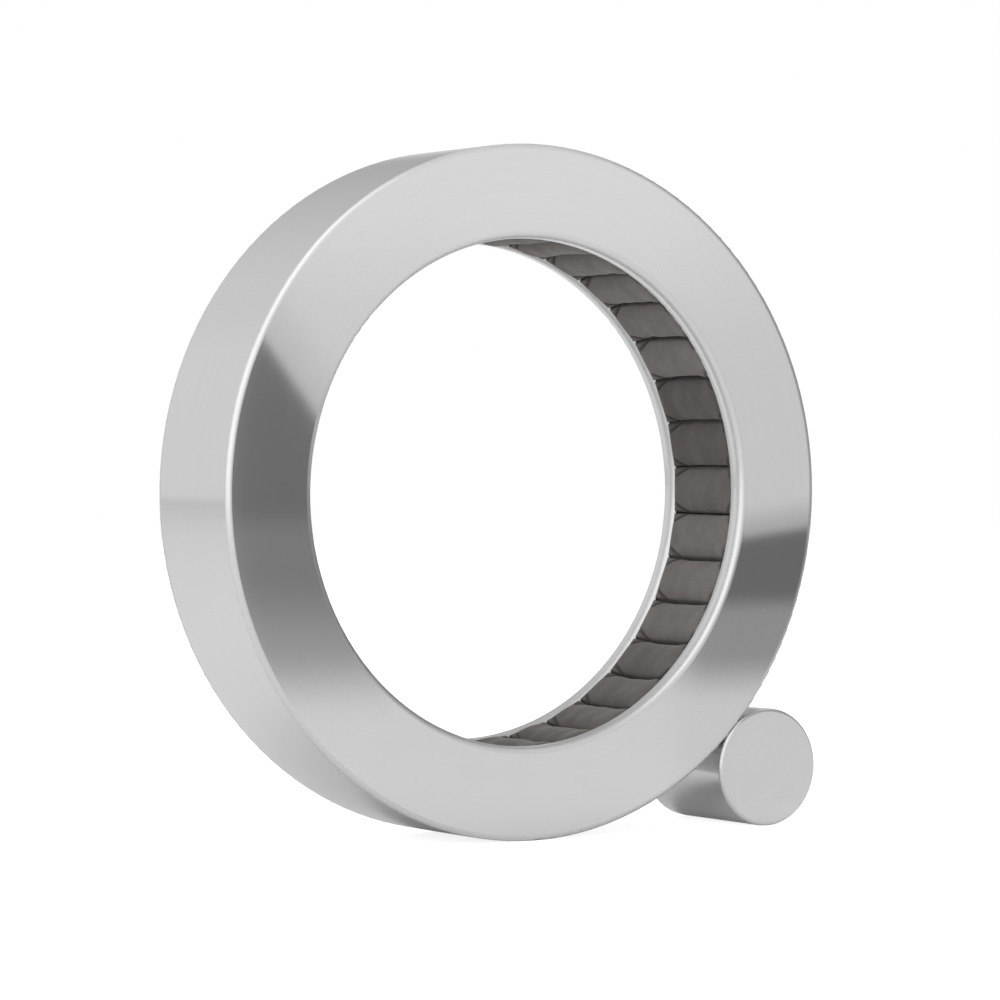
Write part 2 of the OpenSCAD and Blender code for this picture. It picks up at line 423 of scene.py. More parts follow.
def card_material(name, paint):
    """Glowing paint on a clear card. paint(tree, x, z) gives the glow and how solid it is, with x and
    z in millimetres from the ring's axis."""
    material, tree, output = new_material(name)
    place = node(tree, "ShaderNodeTexCoord").outputs["Object"]
    parts = node(tree, "ShaderNodeSeparateXYZ", {0: place})
    x = maths(tree, "MULTIPLY", parts.outputs["X"], 1000)
    z = maths(tree, "SUBTRACT", maths(tree, "MULTIPLY", parts.outputs["Z"], 1000), RING_AXIS_HEIGHT)
    set_glow(tree, output, *paint(tree, x, z))
    return material


def inside_rim(tree, x, z):
    """1 where a card shows in the ring's flat face and 0 where only the rounded rim would show it."""
    across = maths(tree, "SUBTRACT", x, MIRROR_SHIFT[0])
    up = maths(tree, "SUBTRACT", z, MIRROR_SHIFT[1])
    away = node(tree, "ShaderNodeCombineXYZ", {"X": across, "Y": up}).outputs[0]
    away = node(tree, "ShaderNodeVectorMath", {0: away}, operation="LENGTH").outputs["Value"]
    rim = (RING_RADIUS - RIM_ROUNDING) * MIRROR_SCALE
    return rise(tree, away, rim + RIM_MARGIN + 1, rim + RIM_MARGIN)


def two_part_edge(tree, value, soft_edge, steep_edge):
    """A card's edge: a faint soft rise, and on it the steep one."""
    soft = rise(tree, value, *soft_edge)
    steep = rise(tree, value, *steep_edge)
    clear = maths(tree, "MULTIPLY", maths(tree, "SUBTRACT", 1.0, soft), maths(tree, "SUBTRACT", 1.0, steep))
    return maths(tree, "SUBTRACT", 1.0, clear)


def stepped_glow(tree, z, steps):
    """A glow that changes with the height, step by step."""
    glow = rise(tree, z, *steps[0])
    for step in steps[1:]:
        glow = maths(tree, "ADD", glow, rise(tree, z, *step))
    return glow


def left_card_paint(tree, x, z):
    """Dark, slanted at its top right, and lighter in steps towards its foot."""
    slant = maths(tree, "ADD", maths(tree, "MULTIPLY", x, LEFT_SLANT), z)
    solid = two_part_edge(tree, slant, LEFT_SOFT_EDGE, LEFT_STEEP_EDGE)
    solid = faded(tree, solid, z, LEFT_FOOT_EDGE)
    solid = maths(tree, "MULTIPLY", solid, inside_rim(tree, x, z))
    return stepped_glow(tree, z, LEFT_GLOW_STEPS), solid


def right_card_paint(tree, x, z):
    """Dark with a level top, half as dark from its middle down."""
    tilt = maths(tree, "SUBTRACT", z, maths(tree, "MULTIPLY", x, RIGHT_TILT))
    solid = two_part_edge(tree, tilt, RIGHT_SOFT_EDGE, RIGHT_STEEP_EDGE)
    solid = faded(tree, solid, x, *RIGHT_SIDE_EDGES)
    return stepped_glow(tree, z, RIGHT_GLOW_STEPS), solid


def top_card_paint(tree, x, z):
    """A soft glow over the ring's top."""
    solid = faded(tree, 1.0, z, *TOP_HEIGHT_EDGES)
    solid = faded(tree, solid, x, *TOP_SIDE_EDGES)
    return TOP_GLOW, solid


def make_stage():
    """Floor, world, lamps and the cards that the steel mirrors."""
    make_world()
    make_floor()
    make_lamp("softbox_left", SOFTBOX_PLACE, *SOFTBOX_SIZE, SOFTBOX_RADIANCE)
    make_lamp("softbox_above", OVERHEAD_PLACE, *OVERHEAD_SIZE, OVERHEAD_RADIANCE)
    make_softbox_face("softbox_face", SOFTBOX_PLACE, SOFTBOX_FACE_SIZE, SOFTBOX_MIRRORED)
    make_softbox_face("high_softbox_face", HIGH_BOX_PLACE, HIGH_BOX_SIZE, HIGH_BOX_MIRRORED)
    left_paint = card_material("left_card_paint", left_card_paint)
    right_paint = card_material("right_card_paint", right_card_paint)
    top_paint = card_material("top_card_paint", top_card_paint)
    make_reflector("left_card", LEFT_CARD, REFLECTOR_GAP, left_paint)
    make_reflector("right_card", RIGHT_CARD, REFLECTOR_GAP, right_paint)
    make_reflector("top_card", TOP_CARD, TOP_CARD_GAP, top_paint)


# Steel

STEEL_GREY = 0.60
STEEL_TONES = (0.982, 1.015)
STEEL_CONTRAST = (0.30, 0.70)
STEEL_ROUGHNESS = 0.148
ROUGHNESS_VARIATION = 0.030
EDGE_ROUGHNESS = 0.20
STEEL_ANISOTROPY = 0.78
BRUSHED_ALONG = 0.25
BRUSH_STRENGTH = 0.06
BRUSH_DEPTH = 0.00002
WALL_FACING = 0.98

# Cloudy tones: the noise's scale and detail
STEEL_CLOUDS = (28.0, 2.0)

# Brush marks: how often the noise changes round the axis and per millimetre across, and its detail
BROAD_STREAKS = (2.5, 0.8, 3.0)
FINE_STREAKS = (7.0, 4.0, 3.0)
HAIR_STREAKS = (14.0, 14.0, 1.0)

# The ring's rims and the lips' noses are shaded a little rounder than they are, in millimetres
RIM_SHADE_RADIUS = 1.6
NOSE_SHADE_RADIUS = 2.2

# Rounded edges in section: the radius and the depth of each rounding's centre, in millimetres, and
# which way it bulges, outwards or inwards and towards the near end or away from it
FACE_ROUNDINGS = (
    (RING_RADIUS - RIM_SHADE_RADIUS, FACE_DEPTH - RIM_SHADE_RADIUS, 1, 1),
    (OPENING_RADIUS + BEND_RADIUS, FACE_DEPTH - BEND_RADIUS, -1, 1),
    (OPENING_RADIUS + NOSE_SHADE_RADIUS, FACE_DEPTH - LIP_WIDTH + NOSE_SHADE_RADIUS, -1, -1),
)
DISC_ROUNDINGS = ((FOOT_RADIUS - DISC_ROUNDING, FACE_DEPTH - DISC_ROUNDING, 1, 1),)


def rounded_normal(tree, radius, heading, y, roundings):
    """The surface's normal, exact on the round walls and the rounded edges where the mesh only comes
    near it, and a mask of those edges."""
    normal = node(tree, "ShaderNodeNewGeometry").outputs["Normal"]
    facing = node(tree, "ShaderNodeVectorMath", {0: normal, 1: heading}, operation="DOT_PRODUCT")
    facing = facing.outputs["Value"]
    on_wall = maths(tree, "GREATER_THAN", maths(tree, "ABSOLUTE", facing), WALL_FACING)
    wall = {0: heading, "Scale": maths(tree, "SIGN", facing)}
    wall = node(tree, "ShaderNodeVectorMath", wall, operation="SCALE").outputs[0]
    chosen = node(tree, "ShaderNodeMix", {0: on_wall, 4: normal, 5: wall}, data_type="VECTOR")
    normal = chosen.outputs[1]
    side = maths(tree, "SIGN", y)
    depth = maths(tree, "ABSOLUTE", y)
    edges = 0.0
    for centre_radius, centre_depth, outwards, to_end in roundings:
        off_axis = maths(tree, "SUBTRACT", radius, centre_radius * MM)
        along = maths(tree, "SUBTRACT", depth, centre_depth * MM)
        mask = maths(tree, "GREATER_THAN", maths(tree, "MULTIPLY", off_axis, outwards), 0.0)
        beyond = maths(tree, "GREATER_THAN", maths(tree, "MULTIPLY", along, to_end), 0.0)
        mask = maths(tree, "MULTIPLY", mask, beyond)
        radial = node(tree, "ShaderNodeVectorMath", {0: heading, "Scale": off_axis}, operation="SCALE")
        end = node(tree, "ShaderNodeCombineXYZ", {"Y": maths(tree, "MULTIPLY", side, along)})
        exact = node(tree, "ShaderNodeVectorMath", {0: radial.outputs[0], 1: end.outputs[0]}, operation="ADD")
        exact = node(tree, "ShaderNodeVectorMath", {0: exact.outputs[0]}, operation="NORMALIZE")
        chosen = node(tree, "ShaderNodeMix", {0: mask, 4: normal, 5: exact.outputs[0]}, data_type="VECTOR")
        normal = chosen.outputs[1]
        edges = maths(tree, "ADD", edges, mask)
    return normal, edges


def brushed_steel(
    name, axis, roundings, level=STEEL_GREY, roughness=STEEL_ROUGHNESS, anisotropy=STEEL_ANISOTROPY
):
    """Satin steel brushed round an axis that runs front to rear. axis is its x and height in
    millimetres. Scratches run round the axis on flat ends and cylinders alike, and the rounded
    edges are a little duller, as handling and polishing leave them."""
    material, tree, output = new_material(name)
    place = node(tree, "ShaderNodeTexCoord").outputs["Object"]
    centre = (axis[0] * MM, 0, axis[1] * MM)
    from_axis = node(tree, "ShaderNodeVectorMath", {0: place, 1: centre}, operation="SUBTRACT").outputs[0]
    parts = node(tree, "ShaderNodeSeparateXYZ", {0: from_axis})
    x, y, z = parts.outputs["X"], parts.outputs["Y"], parts.outputs["Z"]
    flat = node(tree, "ShaderNodeCombineXYZ", {"X": x, "Z": z}).outputs[0]
    radius = node(tree, "ShaderNodeVectorMath", {0: flat}, operation="LENGTH").outputs["Value"]
    heading = node(tree, "ShaderNodeVectorMath", {0: flat}, operation="NORMALIZE").outputs[0]
    round_axis = node(tree, "ShaderNodeVectorMath", {0: (0, 1, 0), 1: from_axis}, operation="CROSS_PRODUCT")

    # across runs from the rim to the opening and on over the bends, in millimetres
    across = maths(tree, "SUBTRACT", radius, maths(tree, "ABSOLUTE", y))
    across = maths(tree, "MULTIPLY", across, 1000)
    spread = node(tree, "ShaderNodeSeparateXYZ", {0: heading})

    def streaks(turns, per_mm, detail):
        """Noise drawn out round the axis."""
        inputs = {
            "X": maths(tree, "MULTIPLY", spread.outputs["X"], turns),
            "Y": maths(tree, "MULTIPLY", spread.outputs["Z"], turns),
            "Z": maths(tree, "MULTIPLY", across, per_mm),
        }
        drawn = node(tree, "ShaderNodeCombineXYZ", inputs).outputs[0]
        return noise(tree, drawn, 1.0, detail)

    fine = streaks(*FINE_STREAKS)
    shade = blend(
        tree, (streaks(*BROAD_STREAKS), 0.30), (fine, 0.45), (noise(tree, place, *STEEL_CLOUDS), 0.25)
    )
    darker, lighter = (grey(level * tone) for tone in STEEL_TONES)
    colour = mixed_colour(tree, rise(tree, shade, *STEEL_CONTRAST), darker, lighter)
    normal, edges = rounded_normal(tree, radius, heading, y, roundings)
    rough = maths(tree, "MULTIPLY", fine, ROUGHNESS_VARIATION)
    rough = maths(tree, "ADD", roughness - ROUGHNESS_VARIATION / 2, rough)
    rough = maths(tree, "ADD", rough, maths(tree, "MULTIPLY", edges, EDGE_ROUGHNESS))
    lines = blend(tree, (fine, 0.6), (streaks(*HAIR_STREAKS), 0.4))
    relief = {"Height": lines, "Strength": BRUSH_STRENGTH, "Distance": BRUSH_DEPTH, "Normal": normal}
    relief = node(tree, "ShaderNodeBump", relief)
    inputs = {
        "Base Color": colour,
        "Metallic": 1.0,
        "Roughness": rough,
        "Normal": relief.outputs[0],
        "Tangent": round_axis.outputs[0],
        "Anisotropic": anisotropy,
        "Anisotropic Rotation": BRUSHED_ALONG,
    }
    set_surface(tree, output, inputs)
    return material


# Velvet, foam and board

VELVET_DARK = (0.164, 0.153, 0.147, 1)
VELVET_LIGHT = (0.219, 0.205, 0.197, 1)
# Painted shade: the dark velvet that whole rolls are mixed towards when their tone is low
VELVET_SHADED = (0.045, 0.040, 0.037, 1)
# Painted shade: the near-black velvet mixed into the rolls' creases and slots
VELVET_PAINTED_SHADE = (0.016, 0.014, 0.013, 1)
VELVET_SHEEN = (0.60, 0.58, 0.56, 1)
# How far the painted shade by angle may darken a roll
MOST_SHADED = 0.60
PILE_HEIGHT = 0.00012
FOAM_TONES = (0.10, 0.045)
CELL_DEPTH = 0.0003
BOARD_DARK = (0.20, 0.18, 0.15, 1)
BOARD_LIGHT = (0.30, 0.28, 0.24, 1)
FIBRE_HEIGHT = 0.0001

# What range of a pattern goes from a finish's first colour to its second, and from its least
# roughness to its most, which the last two numbers give
VELVET_CONTRAST = (0.28, 0.72)
VELVET_ROUGHNESS = (0.2, 0.8, 0.88, 1.0)
FOAM_CONTRAST = (0.15, 0.75)
FOAM_ROUGHNESS = (0.0, 0.8, 0.80, 0.97)
BOARD_CONTRAST = (0.3, 0.7)
BOARD_ROUGHNESS = (0.3, 0.7, 0.70, 0.90)

# The patterns' scales, and for some their detail and roughness
PILE_PATCHES = (170.0, 2.0, 0.55)
PILE_NAP = (1500.0, 3.0, 0.6)
PILE_TUFTS = (5200.0, 1.0)
FOAM_CELLS = 1400.0
FOAM_CLOUDS = 60.0
BOARD_FIBRES = (1800.0, 4.0, 0.65)
BOARD_CLOUDS = 90.0


def velvet():
    """Grey velvet: short dense pile that lies in soft patches, with a sheen at grazing angles. It has painted
    shade: darker in the creases at the rolls' ends and in the slots, where a roll's attribute says so, and
    darker on whole rolls whose tone is low, which is painted shade by their angle round the ring."""
    material, tree, output = new_material("grey_velvet")
    place = node(tree, "ShaderNodeTexCoord").outputs["Object"]
    # The rolls' tone: painted shade by their angle round the ring, varied a little at random
    tone = node(tree, "ShaderNodeAttribute", attribute_name="roll_tone_and_shade").outputs["Fac"]
    nap = noise(tree, place, *PILE_NAP)
    share = blend(tree, (noise(tree, place, *PILE_PATCHES), 0.55), (nap, 0.45))
    colour = mixed_colour(tree, rise(tree, share, *VELVET_CONTRAST), VELVET_DARK, VELVET_LIGHT)
    # Painted shade: rolls with a low tone are mixed towards the dark velvet
    shade_by_angle = rise(tree, tone, 0.0, 1.0, MOST_SHADED, 0.0)
    colour = mixed_colour(tree, shade_by_angle, colour, VELVET_SHADED)
    # Painted shade in the creases at the rolls' ends and in the slots, from the roll's attribute
    painted_shade = node(tree, "ShaderNodeAttribute", attribute_name="painted_shade").outputs["Fac"]
    colour = mixed_colour(tree, painted_shade, colour, VELVET_PAINTED_SHADE)
    height = blend(tree, (nap, 0.6), (noise(tree, place, *PILE_TUFTS), 0.4))
    relief = node(tree, "ShaderNodeBump", {"Height": height, "Strength": 0.50, "Distance": PILE_HEIGHT})
    inputs = {
        "Base Color": colour,
        "Roughness": rise(tree, nap, *VELVET_ROUGHNESS),
        "Specular IOR Level": 0.12,
        "Sheen Weight": 0.45,
        "Sheen Roughness": 0.45,
        "Sheen Tint": VELVET_SHEEN,
        "Normal": relief.outputs[0],
    }
    set_surface(tree, output, inputs)
    return material


def foam():
    """Charcoal upholstery foam with open cells."""
    material, tree, output = new_material("charcoal_foam")
    place = node(tree, "ShaderNodeTexCoord").outputs["Object"]
    cells = node(tree, "ShaderNodeTexVoronoi", {"Vector": place, "Scale": FOAM_CELLS}).outputs["Distance"]
    share = blend(tree, (cells, 0.7), (noise(tree, place, FOAM_CLOUDS), 0.3))
    wall, hole = (grey(tone) for tone in FOAM_TONES)
    colour = mixed_colour(tree, rise(tree, share, *FOAM_CONTRAST), wall, hole)
    rough = rise(tree, cells, *FOAM_ROUGHNESS)
    relief = node(tree, "ShaderNodeBump", {"Height": cells, "Strength": 0.6, "Distance": CELL_DEPTH})
    set_surface(tree, output, {"Base Color": colour, "Roughness": rough, "Normal": relief.outputs[0]})
    return material


def board():
    """Grey pressed board with short fibres."""
    material, tree, output = new_material("grey_board")
    place = node(tree, "ShaderNodeTexCoord").outputs["Object"]
    stretched = node(tree, "ShaderNodeMapping", {"Vector": place, "Scale": (1.0, 0.2, 1.0)}).outputs[0]
    fibres = noise(tree, stretched, *BOARD_FIBRES)
    share = blend(tree, (fibres, 0.7), (noise(tree, place, BOARD_CLOUDS), 0.3))
    colour = mixed_colour(tree, rise(tree, share, *BOARD_CONTRAST), BOARD_DARK, BOARD_LIGHT)
    rough = rise(tree, fibres, *BOARD_ROUGHNESS)
    relief = node(tree, "ShaderNodeBump", {"Height": fibres, "Strength": 0.3, "Distance": FIBRE_HEIGHT})
    set_surface(tree, output, {"Base Color": colour, "Roughness": rough, "Normal": relief.outputs[0]})
    return material


# Velvet ring rolls

# A roll's own frame, in millimetres: x runs along the ring, y from front to rear, and z towards
# the ring's axis, which lies at z = 0. So the crown is at z = -72.3 and the back at z = -85.
HALF_PITCH = math.pi / ROLL_COUNT
CROWN_TOP = 72.3
CROWN_RADIUS = 11.0
CROWN_CENTRE = CROWN_TOP + CROWN_RADIUS
SLOT_EDGE_RADIUS = 2.0
SIDE_CLEARANCE = 0.28
BACK_RADIUS = 85.0
CROWN_REACH = 8
SIDE_FOOT = 0.8
BACK_CORNER = (0.25, 0.2)
BACK_INSET = 1.1
ROLL_END = 18.35
FOLD_LINE = 14.25
LIP_LINE = 14.63
UNDER_LIP_RADIUS = 74.8
CORNER_FOLD = 4.0
FOLD_START = 2.8
FOLD_BEND = 1.6
HALF_WIDTH = 6.7
END_TAPER = 2.6

# The rows of vertices along half a roll: how they crowd towards the end fold, their number from
# there to the lip, and then pairs of a stage and a size under the lip and sizes of the closed end
ROW_CROWDING = 1.35
ROWS_TO_LIP = 5
ROWS_UNDER_LIP = ((2.02, 1.0), (2.3, 1.0), (2.65, 1.0), (2.95, 0.985))
CLOSING_SIZES = (0.92, 0.72, 0.50, 0.28, 0.08)

# The three swollen rolls that all the others are made from, and the core's plain form
MASTER_COUNT = 3
MASTER_ROWS = 15
MASTER_STEPS = 5
CORE_ROWS = 6
CORE_STEPS = 3
CORE_SCALE = (0.78, 0.93, 0.78)
START_SCALE = 0.965
START_SLACK = (0.55, 0.95)
RIPPLED_DEPTH = 6.0
RIPPLES = ((0.10, 0.35), (0.07, 0.8))
PRESSURE = 3.6
PRESSURE_STEP = 0.4
CLOTH_SCALE = 10.0
CLOTH_FRAMES = 20
CLOTH_STIFFNESS = 12
CLOTH_BENDING = 1.5
GLUED_DEPTH = 1.2
HELD_FROM = 12.75
MOST_SWELL = 0.9
CROWN_SETTLING = (1.0, 8.0)
LIP_ENTRY = (0.01, 0.07)
CROWN_SLACK = 0.1
RANDOM_SEED = 7
TONE_VARIATION = 0.25

# Painted shade by angle round the ring: tones, from 0 for dark to 1 for light, at angles round the ring in
# degrees. A low tone mixes a roll towards the dark velvet.
SHADE_ANGLES = (-60.0, -44.0, -32.0, -10.0, 0.0, 10.0, 20.0, 31.0, 62.0)
SHADE_TONES = (0.25, 0.42, 0.75, 1.0, 0.50, 0.28, 0.20, 0.85, 0.97)

# How the rolls differ from each other: the angle where the lining hangs lowest, in degrees, and
# sags, levels and folds in millimetres
DEEPEST_ANGLE = -18.0
DEEP_WIDTH = 50.0
LEAST_SAG = 0.12
DEEP_SAG = 0.45
SAG_VARIATION = 0.12
SAG_WIDTH = 4.5
LEAST_LIP_LEVEL = 73.2
DEEP_LIP_LEVEL = 0.45
LIP_LEVEL_VARIATION = 0.06
REAR_FOLDS = (3.8, 6.0)
FRONT_FOLDS = (1.8, 3.4)
SKEW = 0.006

# Soft lumps in the foam: their height, and how fast they change across the roll and along it
LUMPS = ((0.05, 0.0, 0.42), (0.03, 0.5, 0.9), (0.04, 0.7, 0.2))

# Folds, creases and slots: how deep, how wide, and how dark the painted shade in them is, from 0 to 1
TOP_PART = (2.0, 9.0)
CREASE_DEPTH = 0.30
CREASE_WIDTH = 0.50
CREASE_SHADE = 0.75
CREASE_SHADE_WIDTHS = (0.45, 0.90)
SLOT_SHADE = 0.85
SLOT_SHADE_FROM = 5.9
SLOT_SHADE_FULL = 6.8
FLAP_STEP = 0.10
CORNER_STEP = 0.12
CORNER_STEP_RISE = (0, 0.8)
CREASE_RISE = (0.05, 0.45)
LIP_CONTACT_ENDS = (6.2, 7.2)
EDGE_FILL = 0.8
EDGE_FILL_DEPTH = 1.2


def side_limit(out):
    """How far from its middle a roll may reach at a radius, up to the plane shared with the next one."""
    return out * math.tan(HALF_PITCH) - SIDE_CLEARANCE


def crown_out(across):
    """The radius of the crown's surface before the lining sags."""
    return CROWN_CENTRE - np.sqrt(CROWN_RADIUS**2 - np.clip(across, -CROWN_REACH, CROWN_REACH) ** 2)


def roll_section(steps):
    """The roll's outline across its length: (x, radius) pairs round the whole section."""
    reach = CROWN_RADIUS - SLOT_EDGE_RADIUS
    held = CROWN_CENTRE * math.sin(HALF_PITCH) - SLOT_EDGE_RADIUS - SIDE_CLEARANCE
    turn = math.asin(held / reach) - HALF_PITCH
    edge_x = reach * math.sin(turn)
    edge_out = CROWN_CENTRE - reach * math.cos(turn)
    half = []
    for step in range(2 * steps):
        angle = turn * step / (2 * steps)
        half.append((CROWN_RADIUS * math.sin(angle), CROWN_CENTRE - CROWN_RADIUS * math.cos(angle)))
    last = math.pi / 2 - HALF_PITCH
    for step in range(steps + 1):
        angle = turn + (last - turn) * step / steps
        x = edge_x + SLOT_EDGE_RADIUS * math.sin(angle)
        half.append((x, edge_out - SLOT_EDGE_RADIUS * math.cos(angle)))
    top = half[-1][1]
    for step in range(1, steps + 1):
        out = top + (BACK_RADIUS - SIDE_FOOT - top) * step / steps
        half.append((side_limit(out), out))
    wide = side_limit(BACK_RADIUS)
    half.append((wide - BACK_CORNER[0], BACK_RADIUS - BACK_CORNER[1]))
    for step in range(steps):
        half.append(((wide - BACK_INSET) * (1 - step / steps), BACK_RADIUS))
    half.append((0.0, BACK_RADIUS))
    other = [(-x, out) for x, out in reversed(half[1:-1])]
    return half + other


def corner_share(across):
    """0 over the middle of the roll, where its end fold runs straight, and 1 at the slots."""
    return np.clip((np.abs(across) - FOLD_START) / (HALF_WIDTH - FOLD_START), 0, 1)


def fold_place(across, fold):
    """Where the end fold crosses the roll: at the crown's end in the middle, further in at the slots."""
    return FOLD_LINE - fold * corner_share(across) ** FOLD_BEND


def roll_stages(rows):
    """Rows along half the roll, each with its stage and its size. Stages 0 to 1 lead to the end fold,
    1 to 2 from there to the lip and 2 to 3 under the lip to the roll's end."""
    to_fold = [(1 - (1 - row / rows) ** ROW_CROWDING, 1.0) for row in range(rows + 1)]
    to_lip = [(1 + row / ROWS_TO_LIP, 1.0) for row in range(1, ROWS_TO_LIP + 1)]
    closing = [(3.0, size) for size in CLOSING_SIZES]
    return to_fold + to_lip + list(ROWS_UNDER_LIP) + closing


def stage_place(stage, fold_line):
    """How far from the roll's middle a stage lies, when its end fold lies at fold_line there."""
    to_fold = fold_line * np.clip(stage, 0, 1)
    to_lip = (LIP_LINE - fold_line) * np.clip(stage - 1, 0, 1)
    under_lip = (ROLL_END - LIP_LINE) * np.clip(stage - 2, 0, 1)
    return to_fold + to_lip + under_lip


def stages(mesh):
    """The stages of a roll's vertices, below 0 towards the front."""
    values = np.zeros(len(mesh.vertices))
    mesh.attributes["stage"].data.foreach_get("value", values)
    return values


def roll_form(name, seed, rows, steps, size):
    """A closed roll in its own frame, in millimetres, as full as its place at both ends and a little
    smaller between them."""
    section = np.array(roll_section(steps))
    middle = np.array([0.0, (CROWN_TOP + BACK_RADIUS) / 2])
    on_top = section[:, 1] < CROWN_TOP + RIPPLED_DEPTH
    fold_line = fold_place(section[:, 0], CORNER_FOLD)
    half = roll_stages(rows)
    full = [(-1, stage, shrink) for stage, shrink in reversed(half[1:])]
    full += [(1, stage, shrink) for stage, shrink in half]
    phase = np.random.default_rng(seed).uniform(0, 2 * math.pi, 2)
    points = []
    for sign, stage, shrink in full:
        y = sign * stage_place(stage, fold_line)
        slack = size + (1 - size) * smooth_step(stage, *START_SLACK)
        ring = middle + (section - middle) * shrink * slack
        ripple = sum(height * np.sin(y * along + turn) for (height, along), turn in zip(RIPPLES, phase))
        out = ring[:, 1] + np.where(on_top, ripple, 0.0)
        points.append(np.stack([ring[:, 0], y, -out], axis=1))
    count = len(section)
    faces = [tuple(reversed(range(count)))]
    for row in range(len(full) - 1):
        for column in range(count):
            first = row * count + column
            after = row * count + (column + 1) % count
            faces.append((first, after, after + count, first + count))
    last = (len(full) - 1) * count
    faces.append(tuple(range(last, last + count)))
    form = mesh_object(name, np.concatenate(points), faces)
    signed = np.repeat([sign * stage for sign, stage, shrink in full], count)
    form.data.attributes.new("stage", "FLOAT", "POINT").data.foreach_set("value", signed)
    return form


def swell(form, pressure):
    """Lets the roll swell as cloth under pressure, with its back and its ends held, and caps how far
    it moved. The cloth is worked at ten times its size, where the solver's limits don't matter."""
    start = positions(form.data)
    move_vertices(form.data, start * MM * CLOTH_SCALE)
    glued = form.vertex_groups.new(name="glued")
    in_hold = (start[:, 2] < -(BACK_RADIUS - GLUED_DEPTH)) | (np.abs(start[:, 1]) > HELD_FROM)
    held = [int(i) for i in np.flatnonzero(in_hold)]
    glued.add(held, 1.0, "REPLACE")
    cloth = form.modifiers.new("cloth", "CLOTH")
    cloth.settings.quality = 6
    cloth.settings.use_pressure = True
    cloth.settings.uniform_pressure_force = pressure
    cloth.settings.tension_stiffness = CLOTH_STIFFNESS
    cloth.settings.compression_stiffness = CLOTH_STIFFNESS
    cloth.settings.bending_stiffness = CLOTH_BENDING
    cloth.settings.vertex_group_mass = "glued"
    cloth.settings.effector_weights.gravity = 0
    cloth.collision_settings.use_collision = False
    cloth.point_cache.frame_start = 1
    cloth.point_cache.frame_end = CLOTH_FRAMES
    for step in range(1, CLOTH_FRAMES + 1):
        bpy.context.scene.frame_set(step)
    swollen = evaluated_mesh(form)
    end = positions(swollen) / (CLOTH_SCALE * MM)
    form.modifiers.clear()
    bpy.context.scene.frame_set(1)
    bpy.data.meshes.remove(swollen)
    moved = end - start
    length = np.linalg.norm(moved, axis=1, keepdims=True)
    return start + moved * np.minimum(1, MOST_SWELL / np.maximum(length, 1e-9))


def settle_crown(points):
    """Sets the crown's top at its own radius, whatever the cloth did, and leaves the back where it is."""
    settled = points.copy()
    out = -points[:, 2]
    lift = CROWN_TOP - out.min()
    settled[:, 2] = -(out + lift * smooth_step(BACK_RADIUS - out, *CROWN_SETTLING))
    return settled


def keep_in_place(points):
    """Flattens the cloth where it meets its neighbours, the backing and the lips."""
    kept = points.copy()
    out = -kept[:, 2]
    at_lip = smooth_step(np.abs(kept[:, 1]) - LIP_LINE, *LIP_ENTRY)
    nearest = CROWN_TOP - CROWN_SLACK + (UNDER_LIP_RADIUS - CROWN_TOP + CROWN_SLACK) * at_lip
    out = np.clip(out, nearest, BACK_RADIUS)
    limit = side_limit(out)
    kept[:, 0] = np.clip(kept[:, 0], -limit, limit)
    kept[:, 1] = np.clip(kept[:, 1], -ROLL_END, ROLL_END)
    kept[:, 2] = -out
    return kept


def master_roll(number):
    """A swollen, subdivided roll without its end folds."""
    form = roll_form(f"roll_form_{number}", RANDOM_SEED + number, MASTER_ROWS, MASTER_STEPS, START_SCALE)
    swollen = swell(form, PRESSURE + PRESSURE_STEP * number)
    move_vertices(form.data, keep_in_place(settle_crown(swollen)))
    finer = form.modifiers.new("finer", "SUBSURF")
    finer.levels = 1
    finer.render_levels = 1
    mesh = evaluated_mesh(form)
    bpy.data.objects.remove(form)
    return mesh


def lining_depth(angle):
    """How deep the lining lies, from 0 to 1, by angle round the ring: it hangs a little low, so it
    lies deeper at the lower right than at the top."""
    from_deepest = (math.degrees(angle) - DEEPEST_ANGLE + 180) % 360 - 180
    return math.exp(-((from_deepest / DEEP_WIDTH) ** 2))


def roll_traits(angle, random):
    """What sets one roll apart from the next: folds at its four corners, its height and its lumps."""
    depth = lining_depth(angle)
    return {
        "turned": random.random() < 0.5,
        "rear_folds": random.uniform(*REAR_FOLDS, 2),
        "front_folds": random.uniform(*FRONT_FOLDS, 2),
        "sag": LEAST_SAG + DEEP_SAG * depth + random.uniform(0, SAG_VARIATION),
        "lip_level": LEAST_LIP_LEVEL
        + DEEP_LIP_LEVEL * depth
        + random.uniform(-LIP_LEVEL_VARIATION, LIP_LEVEL_VARIATION),
        "phase": random.uniform(0, 2 * math.pi, 3),
        "skew": random.uniform(-SKEW, SKEW),
        # painted shade by the roll's angle round the ring
        "tone": np.interp((math.degrees(angle) + 180) % 360 - 180, SHADE_ANGLES, SHADE_TONES),
    }


